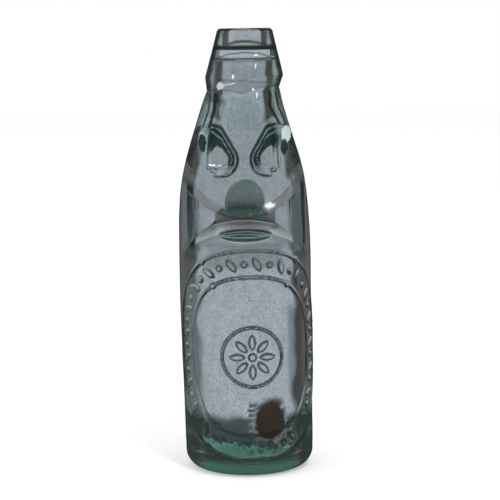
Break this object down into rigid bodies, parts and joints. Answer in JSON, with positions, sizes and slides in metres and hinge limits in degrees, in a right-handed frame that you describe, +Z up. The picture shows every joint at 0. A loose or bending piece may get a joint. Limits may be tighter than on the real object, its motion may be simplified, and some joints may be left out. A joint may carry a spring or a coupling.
{
  "type": "marble stopper bottle",
  "caption": "Blown glass bottle with a pinched neck chamber, lugs and an applied lip; a loose glass marble seals against a rubber ring in the lip.",
  "frame": {"origin": "centre of the foot, on the surface the bottle stands on", "axes": "+Z up along the bottle's axis, -Y is the front with the two lugs, +X is to the right seen from the front"},
  "size_m": [0.0664, 0.0667, 0.22],
  "materials": {
    "bottle_glass": "gloss, aqua tint, seed bubbles and wavy thick walls",
    "lip_glass": "gloss, darker aqua where the lip is thick",
    "ring_rubber": "matte, aged pale rubber",
    "marble_glass": "gloss, green, cloudy with bubbles and fine scratches"
  },
  "bodies": {
    "bottle": {"bottle_body": "bottle_glass", "applied_lip": "lip_glass", "sealing_ring": "ring_rubber"},
    "marble": {"marble": "marble_glass"}
  },
  "joints": [
    {"name": "marble_slide", "type": "slide", "parent": "bottle", "child": "marble", "axis": [0, 0, 1], "range_m": [0, 0.0661]}
  ]
}
